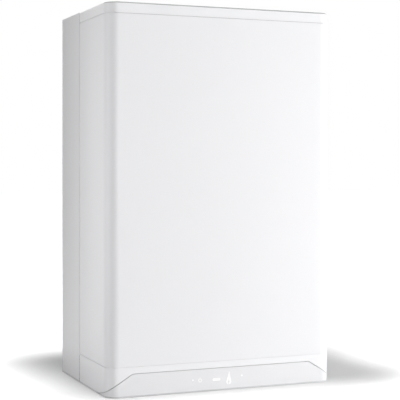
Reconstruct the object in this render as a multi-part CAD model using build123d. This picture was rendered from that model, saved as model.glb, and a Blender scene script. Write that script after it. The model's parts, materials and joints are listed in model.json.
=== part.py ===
from build123d import *
import os
from math import cos, sin, tan, radians

os.makedirs("parts", exist_ok=True)

# Combi boiler, in millimetres. The origin is at the middle of the casing's foot, +Z is up,
# the front faces -Y and the wall is on the +Y side.

# Casing
width = 400.0
depth = 265.0
height = 630.0
corner_radius = 20.0
cover_depth = 156.0
side_seam = 2.0
sheet = 1.0
back_sheet = 1.5
band_wall = 2.3
top_band_height = 18.0
bottom_band_height = 48.5
band_seam = 0.8
tongue_gap = 0.1
tongue_reach = 6.0
rim_radius = 2.5
foot_radius = 2.0

half_width = width / 2
front_y = -depth / 2
back_y = depth / 2
inner_back = back_y - back_sheet
seam_y = front_y + cover_depth
cover_back = seam_y - side_seam / 2
chassis_front = seam_y + side_seam / 2
side_inner = half_width - sheet

# Foam board inside the cover
foam_half = 170.0
foam_thickness = 4.0
foam_foot = 110.0
foam_head = 600.0

# Captive screws under the cover's tabs. The tabs slope the way the cover lifts off.
screw_x = 189.0
screw_y = 11.0
tab_z = 8.0
tab_size = 18.0
tab_thickness = 2.0
lift_angle = 14.0
screw_radius = 2.0
screw_hole_radius = 2.2
screw_head_radius = 4.0
screw_head_foot = 3.0
screw_head_top = 6.0
screw_tip = 14.0
driver_slot = (6.0, 1.0, 1.2)

# Fascia: its top edge is level, and both ends slope down and back round the casing's corners
fascia_top = 36.8
fascia_gap = 1.0
fascia_skin = 2.5
fascia_depth = 4.8
fascia_sole = 3.0
fascia_flange = 3.0
fascia_rim = 5.0
slope_foot = 10.6
slope_across = 0.61
slope_back = 0.209
fascia_corner = 14.0
fascia_post_x = 125.0
fascia_post_z = 18.0
fascia_post_radius = 4.0

# Lit symbols, from the middle of the fascia
dot_left = (-54.0, 20.0)
dot_left_radius = 1.4
dot_right = (33.0, 22.0)
dot_right_radius = 1.6
ring_centre = (-41.5, 19.0)
ring_outer = 3.2
ring_inner = 2.1
bar_centre = (-12.5, 18.5)
bar_size = (14.0, 4.4)
bar_rounding = 2.0
flame_centre = (9.5, 13.2)
flame_radius = 4.4
flame_tip = (0.8, 17.6)
flame_eye_radius = 1.6
flame_eye_tip = (0.3, 5.0)
flame_slot = 1.4
light_plate_x = (-66.0, 42.0)
light_plate_z = (8.5, 31.0)
light_plate = 1.5

# Control box, its boards and its hinge
hinge_y = 5.0
hinge_z = 14.0
hinge_pin_radius = 3.0
hinge_head_radius = 5.0
running_gap = 0.05
box_half = 165.0
box_front = -122.0
box_back = 0.0
box_floor = 6.0
box_split = 48.0
box_top = 86.0
box_wall = 2.5
box_slope_run = 22.0
box_slope_foot = 48.0
board_thickness = 1.6
board_z = 16.0
board_post_radius = 4.0
board_post_x = (-130, -45, 45, 130)
board_post_y = (-100, -20)
lid_slot_pitch = 20
display_board_half = 100.0
display_board_z = (8.0, 29.0)
display_lamp = 6.0

# Chassis plates
floor_z = 24.0
floor_sheet = 1.5
roof_z = 612.0
roof_sheet = 1.5
roof_lip_top = 627.0
lip_gap = 1.7
lip_foot = 30.0
lip_head = 608.0
lip_front = 12.0
hem_height = 3.0
hem_depth = 3.0
panel_y = 46.0
panel_sheet = 1.5
panel_bottom = 255.0
panel_top = 524.0

# Wall hanging slots
slot_z = 585.0
slot_spacing = 260.0
slot_length = 30.0
slot_width = 10.0

# Gland for the mains cable, in the floor on the right
gland_x = 172.0
gland_y = 48.0
gland_bore = 4.5
gland_cap_radius = 10.5
gland_cap_foot = 14.0
gland_thread_radius = 7.8
gland_hole_radius = 8.0
gland_nut_radius = 11.0
gland_nut_height = 4.0
gland_top = 34.0

# Flue, 60/100 mm
flue_x = 0.0
flue_y = 78.75
flue_bore = 30.25
air_radius = 50.0
air_wall = 1.5
flue_rim = height - 1
flue_socket_foot = 609.0
flue_ring_foot = 606.0
flue_ring_wall = 2.0
flue_flange_size = (136.0, 104.0)
flue_flange_thickness = 2.0
seal_thickness = 1.5
flue_screw_x = 58.0
flue_screw_y = 42.0
flue_screw_radius = 2.1
flue_pipe_radius = 30.0
flue_pipe_wall = 1.5
spout_y = -15.0
spout_top = 505.0

# Heat exchanger, a drum with its axis front to back
drum_x = -75.0
drum_z = 395.0
drum_radius = 100.0
drum_front = -75.0
drum_wall = 3.0
drum_front_wall = 5.0
drum_mouth = 82.0
door_front = -87.0
drum_water_y = 32.0
flow_stub_x = -125.0
return_stub_x = -25.0
stub_bottom = 285.0
stub_root = drum_z - 60
drain_y = -45.0
drain_radius = 11.0
drain_bore = 8.0
coil_front = -62.0
coil_turns = 7
coil_inner = 63.0
coil_outer = 73.0
burner_radius = 34.0
burner_wall = 1.5
burner_rear = 10.0
burner_flange = 40.0
burner_port = 2.0

# Burner door
door_radius = 96.0
door_rim = 84.0
door_recess = 4.0
door_hub = 44.0
door_port = 20.0
door_rib_pitch = 30
door_rib = 4.0
door_boss = 8.0
door_bolt_hole = 3.2
door_bolt_radius = 3.0
door_nut_radius = 6.5
door_nut_height = 5.0
insulation_thickness = 11.0
insulation_hole = 42.0
insulation_radius = 80.0

# Ignition electrode and its lead
electrode_radius = 5.0
electrode_collar = 9.0
electrode_front = -108.0
electrode_tip = -40.0
electrode_wire = 1.2
electrode_boss = 11.0
electrode_hole = 5.2
lead_radius = 3.0
lead_bend = 30.0

# Fan, with its axis across the boiler
fan_y = -20.0
fan_z = 440.0
fan_radius = 62.0
fan_wall = 3.0
fan_rim = 6.0
fan_left = 80.0
fan_right = 125.0
fan_outlet_z = 481.0
fan_outlet_half = 18.0
fan_shaft_radius = 3.0
fan_shaft_hole = 10.0
fan_intake_radius = 22.0
fan_motor_left = 50.0
fan_motor_radius = 28.0
impeller_radius = 48.0
impeller_eye = 32.0
impeller_left = 88.0
impeller_right = 114.0
impeller_disc = 2.0
blade_middle = 39.0
blade_size = (24.0, 2.0, 17.0)
blade_pitch = 40
premix_depth = 34.0
premix_width = 60.0
premix_wall = 2.5
premix_rounding = 8.0

# Venturi and air intake
intake_left = 166.0
intake_width = 30.0
intake_y = (-60.0, 20.0)
intake_z = (400.0, 590.0)
intake_wall = 2.0
intake_arm_z = (500.0, 504.0)
venturi_radius = 24.0
throat_radius = 13.0
venturi_mouth = 21.5
gas_port_radius = 10.0
gas_port_bore = 5.0
gas_port_foot = 416.0

# Gas train
valve_x = 145.0
valve_bottom = 285.0
valve_top = 350.0
valve_half = 40.0
valve_front = -50.0
valve_rear = 10.0
valve_neck_radius = 12.0
plunger_x = 125.0
plunger_z = 318.0
plunger_radius = 6.0
plunger_cap_radius = 16.0
plunger_cap_front = -80.0
sliding_gap = 0.04
gas_pipe_radius = 7.5
gas_pipe_bend = 22.0
gas_union_radius = 14.0
gas_union_height = 9.0

# Water side
connection_y = 75.0
flow_x = -130.0
hot_x = -65.0
gas_x = 0.0
cold_x = 65.0
return_x = 130.0
thread_34 = 13.2
thread_12 = 10.45
stub_foot = 3.0
thread_end = 22.0
neck = 1.2
stub_wall = 4.0
block_bottom = 40.0
block_deck = 72.0
block_y = (50.0, 105.0)
block_near = 45.0
block_far = 150.0
tower_near = 98.0
flow_tower_top = 150.0
return_tower_top = 142.0
pipe_radius = 9.0
pipe_wall = 1.0

# Diverter valve
diverter_x = -125.0
diverter_z = 112.0
diverter_bore = 15.0
diverter_bore_y = (54.0, 98.0)
diverter_disc = 12.5
spindle_radius = 3.0
diverter_motor_half = 22.0
diverter_motor_front = 8.0

# Flow turbine
turbine_chamber = 8.0
turbine_chamber_z = (46.0, 62.0)
turbine_axle = 1.0
turbine_hub = 3.0
turbine_blade = (14.6, 1.2, 12.0)

# Relief valve and filling tap
knob_x = 125.0
knob_z = 56.0
knob_front = 16.0
knob_rear = 34.0
knob_radius = 14.0
relief_neck_radius = 12.0
tap_x = 97.0
tap_foot = 5.0
tap_top = 19.0
tap_radius = 9.0
flute_radius = 2.0

# Pump, with its axis front to back
pump_x = 120.0
pump_y = 78.0
pump_z = 190.0
pump_radius = 48.0
pump_face = 55.0
pump_depth = 45.0
pump_chamber = 38.0
pump_outlet_radius = 11.0
pump_outlet_x = 62.0
pump_motor_radius = 44.0
pump_motor_front = -20.0
pump_shaft = 4.0
pump_rotor = 16.5
pump_rotor_hole = 17.5
pump_disc = 32.0
vane_size = (22.0, 8.0, 2.0)
vane_middle = 20.0
vane_turn = 25.0

# Automatic air vent, above the pump
vent_x = 150.0
vent_foot = 236.0
vent_top = 282.0
vent_radius = 14.0
vent_wall = 2.0
vent_bore = 4.0
vent_cap_radius = 6.0
vent_cap_top = 289.0
float_radius = 11.5
float_z = (240.3, 266.0)

# Expansion vessel
vessel_z = 370.0
vessel_radius = 150.0
vessel_front = 55.0
vessel_split = 92.5
vessel_wall = 1.5
vessel_rim = 5.0
vessel_rounding = 26.0
diaphragm_half = 0.5
vessel_port_y = 84.0
vessel_port_foot = 208.0
vessel_port_radius = 7.0
vessel_port_bore = 4.0
hose_radius = 6.0
hose_wall = 1.5
hose_bend = 40.0
hose_port_x = 110.0
hose_port_z = 118.0

# Plate heat exchanger
plates = 18
plate_half = 95.0
plate_y = (62.0, 118.0)
plate_top = 140.0
plate_edge = 2.0
plate_share = 0.55

# Condensate trap
trap_x = -172.0
trap_y = 48.0
trap_radius = 18.0
trap_wall = 2.0
trap_foot = 44.0
trap_top = 172.0
trap_collar_radius = 12.0
trap_collar_top = 180.0
trap_bore = 7.0
trap_outlet = 10.75
trap_outlet_bore = 8.5
trap_hole = 12.75
trap_bands = (70.0, 150.0)
condensate_wall = 2.0


def block(x_limits, y_limits, z_limits):
    """Box between pairs of limits, given in either order."""
    limits = [sorted(pair) for pair in (x_limits, y_limits, z_limits)]
    size = [high - low for low, high in limits]
    middle = [(high + low) / 2 for low, high in limits]
    return Pos(*middle) * Box(*size)


def rod_x(radius, x_limits, y, z):
    """Cylinder along X."""
    low, high = sorted(x_limits)
    return Pos((low + high) / 2, y, z) * Rot(0, 90, 0) * Cylinder(radius, high - low)


def rod_y(radius, y_limits, x, z):
    """Cylinder along Y."""
    low, high = sorted(y_limits)
    return Pos(x, (low + high) / 2, z) * Rot(90, 0, 0) * Cylinder(radius, high - low)


def rod_z(radius, z_limits, x, y):
    """Cylinder along Z."""
    low, high = sorted(z_limits)
    return Pos(x, y, (low + high) / 2) * Cylinder(radius, high - low)


def drum(radius, length):
    """Cylinder standing on the ground plane."""
    return Cylinder(radius, length, align=(Align.CENTER, Align.CENTER, Align.MIN))


def bend_radii(points, largest):
    """Radius for each corner of a route, as large as its runs allow, up to the largest.

    An end run belongs to one corner, and every other run is shared by two.
    """
    runs = [Vector(*after) - Vector(*before) for before, after in zip(points, points[1:])]
    shares = [0.45] * len(runs)
    shares[0] = shares[-1] = 0.9
    radii = []
    for corner in range(len(runs) - 1):
        run_in, run_out = runs[corner:corner + 2]
        half_turn = radians(run_in.get_angle(run_out)) / 2
        reach = min(run_in.length * shares[corner], run_out.length * shares[corner + 1])
        radii.append(min(largest, reach / tan(half_turn)))
    return radii


def tube(points, radius, wall=0.0, largest_bend=60.0):
    """Round tube, or a solid one where the wall is 0, along straight runs joined by arcs."""
    route = FilletPolyline(*points, radius=bend_radii(points, largest_bend))
    start = Plane(origin=route @ 0, z_dir=route % 0)
    pipe = sweep(start * Circle(radius), path=route)
    if wall > 0:
        pipe -= sweep(start * Circle(radius - wall), path=route)
    return pipe


def casing(inset, bottom, top, back):
    """Solid with the cover's outline, inset from its outer face."""
    front = front_y + inset
    outline = Pos(0, (front + back) / 2) * Rectangle(width - 2 * inset, back - front)
    corners = outline.vertices().sort_by(Axis.Y)[:2]
    outline = fillet(corners, corner_radius - inset)
    return Pos(0, 0, bottom) * extrude(outline, top - bottom)


def rounded_casing(bottom, top, back, end, radius):
    """Solid with the cover's outline, its foot (end 0) or head (end -1) rounded but for the back."""
    solid = casing(0, bottom, top, back)
    rim = [edge for edge in solid.edges().group_by(Axis.Z)[end] if edge.center().Y < back - 1]
    return fillet(rim, radius)


def casing_wall(outer, inner, bottom, top, back):
    """U-shaped wall of the cover between two insets."""
    return casing(outer, bottom, top, back) - casing(inner, bottom - 1, top + 1, back + 1)


def fascia_zone(grow):
    """Wedge that the fascia fills, grown on its top and its sloping ends."""
    below = -5.0
    top = fascia_top + grow
    tilt = (1 + slope_across**2 + slope_back**2) ** 0.5
    sections = []
    for reach in (-6.0, 70.0):
        foot = slope_foot + grow * tilt - slope_back * reach
        wide = half_width - (below - foot) / slope_across
        narrow = half_width - (top - foot) / slope_across
        outline = Polygon((-wide, below), (wide, below), (narrow, top), (-narrow, top), align=None)
        outline = fillet(outline.vertices().sort_by(Axis.Y)[-2:], fascia_corner + grow)
        sections.append(Plane.XZ.offset(-(front_y + reach)) * outline)
    return loft(sections, ruled=True)


def front_panel():
    panel_foot = bottom_band_height + band_seam / 2
    panel_head = height - top_band_height - band_seam / 2
    return casing_wall(0, sheet, panel_foot, panel_head, cover_back)


def top_band():
    foot = height - top_band_height + band_seam / 2
    cap = rounded_casing(foot, height, cover_back, -1, rim_radius)
    cap -= casing(band_wall, foot - 1, height - band_wall, cover_back + 1)
    tongue = casing_wall(sheet + tongue_gap, band_wall, foot - tongue_reach, foot + 1, cover_back)
    return cap + tongue


def bottom_band():
    """Lower edge of the cover, with a cut-out for the fascia and two tabs for the captive screws."""
    head = bottom_band_height - band_seam / 2
    skirt = rounded_casing(0, head, cover_back, 0, foot_radius)
    skirt -= casing(band_wall, -1, head + 1, cover_back + 1)
    skirt += casing_wall(sheet + tongue_gap, band_wall, head - 1, head + tongue_reach, cover_back)
    skirt -= fascia_zone(fascia_gap)
    for side in (-1, 1):
        tab = Pos(side * screw_x, screw_y, tab_z - tab_thickness / 2) * Box(tab_size, tab_size, tab_thickness)
        hole = rod_z(screw_hole_radius, (tab_z - 3, tab_z + 1), side * screw_x, screw_y)
        skirt += tilted(tab - hole)
    return skirt


def cover_insulation():
    face = front_y + sheet
    return block((-foam_half, foam_half), (face, face + foam_thickness), (foam_foot, foam_head))


def tilted(shape):
    """Shape turned about the tabs, so that its front is higher."""
    return Pos(0, screw_y, tab_z) * Rot(-lift_angle, 0, 0) * Pos(0, -screw_y, -tab_z) * shape


def cover_screws():
    screws = []
    for side in (-1, 1):
        x = side * screw_x
        head = rod_z(screw_head_radius, (screw_head_foot, screw_head_top), x, screw_y)
        head -= Pos(x, screw_y, screw_head_foot + 0.5) * Box(*driver_slot)
        screws.append(tilted(head + rod_z(screw_radius, (screw_head_top, screw_tip), x, screw_y)))
    return screws


def power_symbol():
    """Ring with a gap at its top and a stroke in the gap."""
    ring = Circle(ring_outer) - Circle(ring_inner)
    gap = Pos(0, 3) * Rectangle(2.6, 3)
    stroke = Pos(0, 2.6) * Rectangle(0.9, 3.6)
    return ring - gap + stroke


def drop_symbol(radius, tip):
    """Drop with a round foot about its centre and a pointed tip."""
    foot = ThreePointArc((radius, 0), (0, -radius), (-radius, 0))
    return make_face(Line(tip, (radius, 0)) + foot + Line((-radius, 0), tip))


def flame_symbol():
    """Flame round an eye that is open at the foot."""
    slot = Pos(0, -flame_radius / 2) * Rectangle(flame_slot, flame_radius + 1)
    return drop_symbol(flame_radius, flame_tip) - drop_symbol(flame_eye_radius, flame_eye_tip) - slot


def light_prisms():
    """The lit ends of the light guide: two dots, an open ring with a stroke, a bar and a flame."""
    marks = Pos(*dot_left) * Circle(dot_left_radius) + Pos(*dot_right) * Circle(dot_right_radius)
    marks += Pos(*ring_centre) * power_symbol()
    marks += Pos(*bar_centre) * RectangleRounded(*bar_size, bar_rounding)
    marks += Pos(*flame_centre) * flame_symbol()
    return extrude(Plane.XZ.offset(-front_y) * marks, -fascia_skin)


def control_fascia():
    """Moulded strip at the cover's foot, hollow behind its skin, on two posts of the control box."""
    above = fascia_top + 10
    skin = rounded_casing(0, above, box_back, 0, foot_radius) - casing(fascia_depth, -1, above + 1, 1)
    flange_front = band_wall + fascia_gap
    flange = casing_wall(flange_front, fascia_depth, 0, above, box_back) & fascia_zone(fascia_flange)
    hollow = casing_wall(fascia_skin, fascia_depth + 1, fascia_sole, above, box_back)
    fascia = (skin & fascia_zone(0)) + flange - (hollow & fascia_zone(-fascia_rim))
    post_y = (front_y + fascia_skin - 0.1, box_front)
    for side in (-1, 1):
        fascia += rod_y(fascia_post_radius, post_y, side * fascia_post_x, fascia_post_z)
    return fascia - light_prisms()


def symbol_light_guide():
    plate_front = front_y + fascia_skin
    return block(light_plate_x, (plate_front, plate_front + light_plate), light_plate_z) + light_prisms()


def display_board():
    """Narrow board behind the light guide, with a row of lamps on its back."""
    front = front_y + fascia_skin + light_plate
    rear = front + board_thickness
    board = block((-display_board_half, display_board_half), (front, rear), display_board_z)
    for x in range(-90, 100, 20):
        board += block((x - display_lamp / 2, x + display_lamp / 2), (rear, rear + 1.6), (14, 18))
    return board


def control_box_outline():
    """The control box from the side, with a sloping front so that it swings clear of the cover."""
    points = [(box_front, box_floor), (box_back, box_floor), (box_back, box_top)]
    points += [(box_front + box_slope_run, box_top), (box_front, box_slope_foot)]
    return Polygon(*points, align=None)


def control_box_shell(z_limits):
    outline = control_box_outline()
    inner_half = box_half - box_wall
    outer = extrude(Plane.YZ.offset(-box_half) * outline, 2 * box_half)
    inner = extrude(Plane.YZ.offset(-inner_half) * offset(outline, -box_wall), 2 * inner_half)
    return (outer - inner) & block((-box_half, box_half), (box_front - 1, box_back + 1), z_limits)


def control_box_base():
    base = control_box_shell((box_floor, box_split))
    for x in board_post_x:
        for y in board_post_y:
            base += rod_z(board_post_radius, (box_floor + box_wall - 0.5, board_z), x, y)
    return base


def control_box_lid():
    lid = control_box_shell((box_split, box_top))
    for x in range(-120, 121, lid_slot_pitch):
        lid -= block((x - 2, x + 2), (-70, -20), (box_top - 2 * box_wall, box_top + 1))
    return lid


def main_circuit_board():
    """Board with relays, a transformer, a terminal strip and capacitors."""
    top = board_z + board_thickness
    board = block((-150, 150), (-112, -8), (board_z, top))
    for relay_x in (-120, -96, -72):
        board += block((relay_x - 9, relay_x + 9), (-100, -72), (top, top + 15))
    transformer = block((20, 62), (-98, -60), (top, top + 26))
    terminals = block((-140, 60), (-28, -14), (top, top + 12))
    board += transformer + terminals
    for capacitor_x in (85, 105, 125):
        board += rod_z(7, (top, top + 20), capacitor_x, -80)
    return board


def control_box_pins():
    """Shoulder pins that the control box swings on, one each side."""
    shoulder = box_half + 6.5
    bearing = box_half + 10
    head = (box_half + 9.5, box_half + 12.5)
    pins = []
    for side in (-1, 1):
        pin = rod_x(hinge_head_radius, (side * box_half, side * shoulder), hinge_y, hinge_z)
        pin += rod_x(hinge_pin_radius, (side * (shoulder - 0.5), side * bearing), hinge_y, hinge_z)
        pin += rod_x(hinge_head_radius, (side * head[0], side * head[1]), hinge_y, hinge_z)
        pins.append(pin)
    return pins


def chassis_back():
    back = block((-half_width, half_width), (inner_back, back_y), (0, height))
    slot = SlotOverall(slot_length, slot_width)
    for side in (-1, 1):
        place = Plane.XZ.offset(-back_y - 1) * Pos(side * slot_spacing / 2, slot_z)
        back -= extrude(place * slot, back_sheet + 2)
    return back


def chassis_side(side):
    """Side of the chassis: a folded sheet with a hem at its foot and a lip inside the cover's back."""
    lip_outer = side_inner - lip_gap
    lip_inner = lip_outer - sheet
    lip_z = (lip_foot, lip_head)
    hem = block((side * (half_width - hem_depth), side * half_width), (chassis_front, inner_back),
                (0, hem_height))
    edge = hem.edges().filter_by(Axis.Y).group_by(Axis.Z)[0].sort_by(Axis.X)[0 if side < 0 else -1]
    wall_z = (hem_height - 0.5, height)
    panel = fillet(edge, foot_radius)
    panel += block((side * side_inner, side * half_width), (chassis_front, inner_back), wall_z)
    panel += block((side * lip_inner, side * half_width), (chassis_front, chassis_front + sheet), lip_z)
    panel += block((side * lip_inner, side * lip_outer), (lip_front, chassis_front + sheet), lip_z)
    return panel


def chassis_left_side():
    return chassis_side(-1)


def chassis_right_side():
    return chassis_side(1)


def top_plate():
    """Sunk top plate with a turned-up front edge whose lip lies under the cover's cap."""
    under = roof_z - roof_sheet
    lip_half = side_inner - 4
    tip_half = lip_half - 5
    edge_back = chassis_front + roof_sheet
    plate = block((-side_inner, side_inner), (chassis_front + 3, inner_back), (under, roof_z))
    plate += block((-lip_half, lip_half), (chassis_front, chassis_front + 5), (under, roof_z))
    plate += block((-lip_half, lip_half), (chassis_front, edge_back), (under, roof_lip_top))
    plate += block((-tip_half, tip_half), (14, edge_back), (roof_lip_top - roof_sheet, roof_lip_top))
    plate -= rod_z(air_radius + 1, (under - 1, roof_z + 1), flue_x, flue_y)
    return plate - flue_screw_holes(under - 1, roof_z + 1)


def floor_holes():
    """Holes in the floor for the connections, the trap, the filling tap and the gland."""
    through = (floor_z - 1, floor_z + floor_sheet + 1)
    holes = rod_z(trap_hole, through, trap_x, trap_y)
    holes += rod_z(7, through, tap_x, connection_y)
    holes += rod_z(gland_hole_radius, through, gland_x, gland_y)
    for x, radius in ((flow_x, thread_34), (hot_x, thread_12), (gas_x, thread_34),
                      (cold_x, thread_12), (return_x, thread_34)):
        holes += rod_z(radius + 2, through, x, connection_y)
    return holes


def hinge_ear(side):
    """Ear of the floor that carries one shoulder pin of the control box."""
    limits = (side * (box_half + 7), side * (box_half + 9))
    ear = block(limits, (-3, chassis_front + 3), (7, floor_z + floor_sheet))
    return ear - rod_x(hinge_pin_radius + running_gap, limits, hinge_y, hinge_z)


def screw_bracket(side):
    """Web and slotted tab of the floor that take one captive screw of the cover."""
    limits = (side * 181, side * 196)
    web = block(limits, (chassis_front + 3, chassis_front + 4.5), (4, floor_z + 1))
    tab = block(limits, (6, chassis_front + 4), (tab_z + 0.4, tab_z + 1.9))
    slot = block((side * (screw_x - 2.5), side * (screw_x + 2.5)), (5, 14), (tab_z, tab_z + 2))
    return web + tilted(tab - slot)


def bottom_plate():
    deck = (floor_z, floor_z + floor_sheet)
    plate = block((-side_inner, side_inner), (chassis_front + 3, inner_back), deck)
    plate += block((-180, 180), (16, chassis_front + 4), deck)
    plate -= floor_holes()
    for side in (-1, 1):
        plate += hinge_ear(side) + screw_bracket(side)
    return plate


def cable_gland():
    body = rod_z(gland_cap_radius, (gland_cap_foot, floor_z), gland_x, gland_y)
    body += rod_z(gland_thread_radius, (floor_z, gland_top), gland_x, gland_y)
    nut_place = Pos(gland_x, gland_y, floor_z + floor_sheet)
    nut = extrude(nut_place * RegularPolygon(gland_nut_radius, 6), gland_nut_height)
    return body + nut - rod_z(gland_bore, (gland_cap_foot - 1, gland_top + 2), gland_x, gland_y)


def mounting_panel():
    panel = block((-side_inner, side_inner), (panel_y, panel_y + panel_sheet), (panel_bottom, panel_top))
    for x in (-170, 170):
        for z in (270, 370, 470):
            panel -= rod_y(6, (panel_y - 1, panel_y + 3), x, z)
    return panel


def flue_screw_holes(bottom, top):
    holes = []
    for x in (-flue_screw_x, flue_screw_x):
        for y in (-flue_screw_y, flue_screw_y):
            holes.append(rod_z(flue_screw_radius, (bottom, top), flue_x + x, flue_y + y))
    return holes


def flue_flange(bottom, top):
    outline = Pos(flue_x, flue_y, bottom) * RectangleRounded(*flue_flange_size, 8)
    return extrude(outline, top - bottom) - flue_screw_holes(bottom - 1, top + 1)


def flue_seal():
    seal = flue_flange(roof_z, roof_z + seal_thickness)
    return seal - rod_z(air_radius + 1, (roof_z - 1, roof_z + 3), flue_x, flue_y)


def flue_collar():
    """Collar for a concentric flue: a socket for the flue pipe, inside a spigot for the air pipe."""
    base = roof_z + seal_thickness
    collar = flue_flange(base, base + flue_flange_thickness)
    collar += rod_z(air_radius, (base, flue_rim), flue_x, flue_y)
    collar -= rod_z(air_radius - air_wall, (base - 1, flue_rim + 1), flue_x, flue_y)
    socket = rod_z(flue_bore + flue_ring_wall, (flue_ring_foot, flue_rim), flue_x, flue_y)
    for angle in (45, 135):
        socket += Pos(flue_x, flue_y, base + 1) * Rot(0, 0, angle) * Box(2 * air_radius - 1, 3, 2)
    socket -= rod_z(flue_bore, (flue_socket_foot, flue_rim + 1), flue_x, flue_y)
    duct_bore = flue_pipe_radius - flue_pipe_wall
    return collar + socket - rod_z(duct_bore, (flue_ring_foot - 1, flue_socket_foot + 1), flue_x, flue_y)


def flue_duct():
    points = [(drum_x, spout_y, spout_top), (drum_x, spout_y, spout_top + 31), (flue_x, flue_y, 577),
              (flue_x, flue_y, flue_ring_foot)]
    return tube(points, flue_pipe_radius, flue_pipe_wall)


def vessel_shell(direction, reach):
    """Half of the flat round expansion vessel, opening towards the seam."""
    inner_radius = vessel_radius - vessel_wall
    outer = drum(vessel_radius, reach)
    outer = fillet(outer.edges().sort_by(Axis.Z)[-1], vessel_rounding)
    inner = drum(inner_radius, reach - vessel_wall)
    inner = fillet(inner.edges().sort_by(Axis.Z)[-1], vessel_rounding - vessel_wall)
    rim = drum(vessel_radius + vessel_rim, vessel_wall) - drum(inner_radius, vessel_wall)
    seam = vessel_split + direction * diaphragm_half
    return Pos(0, seam, vessel_z) * Rot(-90 * direction, 0, 0) * (outer - inner + rim)


def expansion_vessel_front():
    shell = vessel_shell(-1, vessel_split - vessel_front - diaphragm_half)
    port_top = vessel_z - vessel_radius + 3
    port = rod_z(vessel_port_radius, (vessel_port_foot, port_top), 0, vessel_port_y)
    bore = rod_z(vessel_port_bore, (vessel_port_foot - 1, port_top + 2), 0, vessel_port_y)
    return shell + port - bore


def expansion_vessel_rear():
    return vessel_shell(1, inner_back - vessel_split - diaphragm_half)


def vessel_diaphragm():
    thickness = (vessel_split - diaphragm_half, vessel_split + diaphragm_half)
    return rod_y(vessel_radius + vessel_rim, thickness, 0, vessel_z)


def vessel_hose():
    points = [(0, vessel_port_y, vessel_port_foot), (0, vessel_port_y, 170), (55, 36, 135),
              (hose_port_x, 26, hose_port_z), (hose_port_x, block_y[0], hose_port_z)]
    return tube(points, hose_radius, hose_wall, hose_bend)


def heat_exchanger_shell():
    """Drum with a flue spout on top and flow, return and drain stubs below."""
    rear = panel_y
    stubs = ((drain_radius, drain_bore, drum_x, drain_y),
             (pipe_radius, pipe_radius - pipe_wall, flow_stub_x, drum_water_y),
             (pipe_radius, pipe_radius - pipe_wall, return_stub_x, drum_water_y))
    shell = rod_y(drum_radius, (drum_front, rear), drum_x, drum_z)
    shell += rod_z(flue_pipe_radius, (drum_z + 60, spout_top), drum_x, spout_y)
    for radius, bore, x, y in stubs:
        shell += rod_z(radius, (stub_bottom, stub_root), x, y)
    shell -= rod_y(drum_radius - drum_wall, (drum_front + drum_front_wall, rear - drum_wall), drum_x, drum_z)
    shell -= rod_y(drum_mouth, (drum_front - 1, drum_front + drum_front_wall + 1), drum_x, drum_z)
    shell -= rod_z(flue_pipe_radius - flue_pipe_wall, (drum_z + 60, spout_top + 1), drum_x, spout_y)
    for radius, bore, x, y in stubs:
        shell -= rod_z(bore, (stub_bottom - 1, stub_root), x, y)
    return shell


def heat_exchanger_coil():
    """Ringed sleeve round the burner, closed to the drum's rear wall."""
    rear = panel_y - drum_wall
    pitch = (rear - coil_front) / coil_turns
    coil = rod_y(coil_outer, (coil_front, rear), drum_x, drum_z)
    coil -= rod_y(coil_inner, (coil_front - 1, rear + 1), drum_x, drum_z)
    for turn in range(coil_turns):
        y = coil_front + (turn + 0.5) * pitch
        coil += Pos(drum_x, y, drum_z) * Rot(90, 0, 0) * Torus((coil_inner + coil_outer) / 2, pitch / 2 - 0.3)
    return coil


def burner_tube():
    """Closed tube with rows of ports, held by a flange against the door."""
    burner = rod_y(burner_radius, (drum_front, burner_rear), drum_x, drum_z)
    burner += rod_y(burner_flange, (drum_front, drum_front + 2), drum_x, drum_z)
    burner -= rod_y(burner_radius - burner_wall, (drum_front - 1, burner_rear - 2), drum_x, drum_z)
    for y in range(-60, 5, 15):
        for angle in range(0, 180, 20):
            burner -= Pos(drum_x, y, drum_z) * Rot(0, angle, 0) * Cylinder(burner_port, 2 * burner_radius + 2)
    return burner


def around_drum(radius, angle):
    """Place on the burner door at a radius and an angle."""
    return drum_x + radius * cos(radians(angle)), drum_z + radius * sin(radians(angle))


electrode_x, electrode_z = around_drum(47, -50)
nut_places = [around_drum(88, angle) for angle in (71, 161, 251, 341)]


def burner_door():
    """Cast door with a raised rim, a hub for the premix duct, ribs and four bolt bosses."""
    through = (door_front - 1, drum_front + 1)
    door = rod_y(door_radius, (door_front, drum_front), drum_x, drum_z)
    door -= rod_y(door_rim, (door_front - 1, door_front + door_recess), drum_x, drum_z)
    door += rod_y(door_hub, (door_front, drum_front), drum_x, drum_z)
    rib = block((door_hub - 2, door_rim + 2), (door_front + 1, drum_front), (-door_rib / 2, door_rib / 2))
    for angle in range(11, 371, door_rib_pitch):
        door += Pos(drum_x, 0, drum_z) * Rot(0, -angle, 0) * rib
    for x, z in nut_places:
        door += rod_y(door_boss, (door_front, drum_front), x, z)
        door -= rod_y(door_bolt_hole, through, x, z)
    door += rod_y(electrode_boss, (door_front, drum_front), electrode_x, electrode_z)
    door -= rod_y(electrode_hole, through, electrode_x, electrode_z)
    return door - rod_y(door_port, through, drum_x, drum_z)


def burner_door_nuts():
    nuts = []
    for x, z in nut_places:
        hexagon = Plane.XZ.offset(-door_front) * Pos(x, z) * RegularPolygon(door_nut_radius, 6)
        bolt = rod_y(door_bolt_radius, (door_front - door_nut_height - 3, drum_front), x, z)
        nuts.append(extrude(hexagon, door_nut_height) + bolt)
    return nuts


def door_insulation():
    rear = drum_front + insulation_thickness
    board = rod_y(insulation_radius, (drum_front, rear), drum_x, drum_z)
    board -= rod_y(insulation_hole, (drum_front - 1, rear + 1), drum_x, drum_z)
    return board - rod_y(electrode_hole + 0.3, (drum_front - 1, rear + 1), electrode_x, electrode_z)


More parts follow.
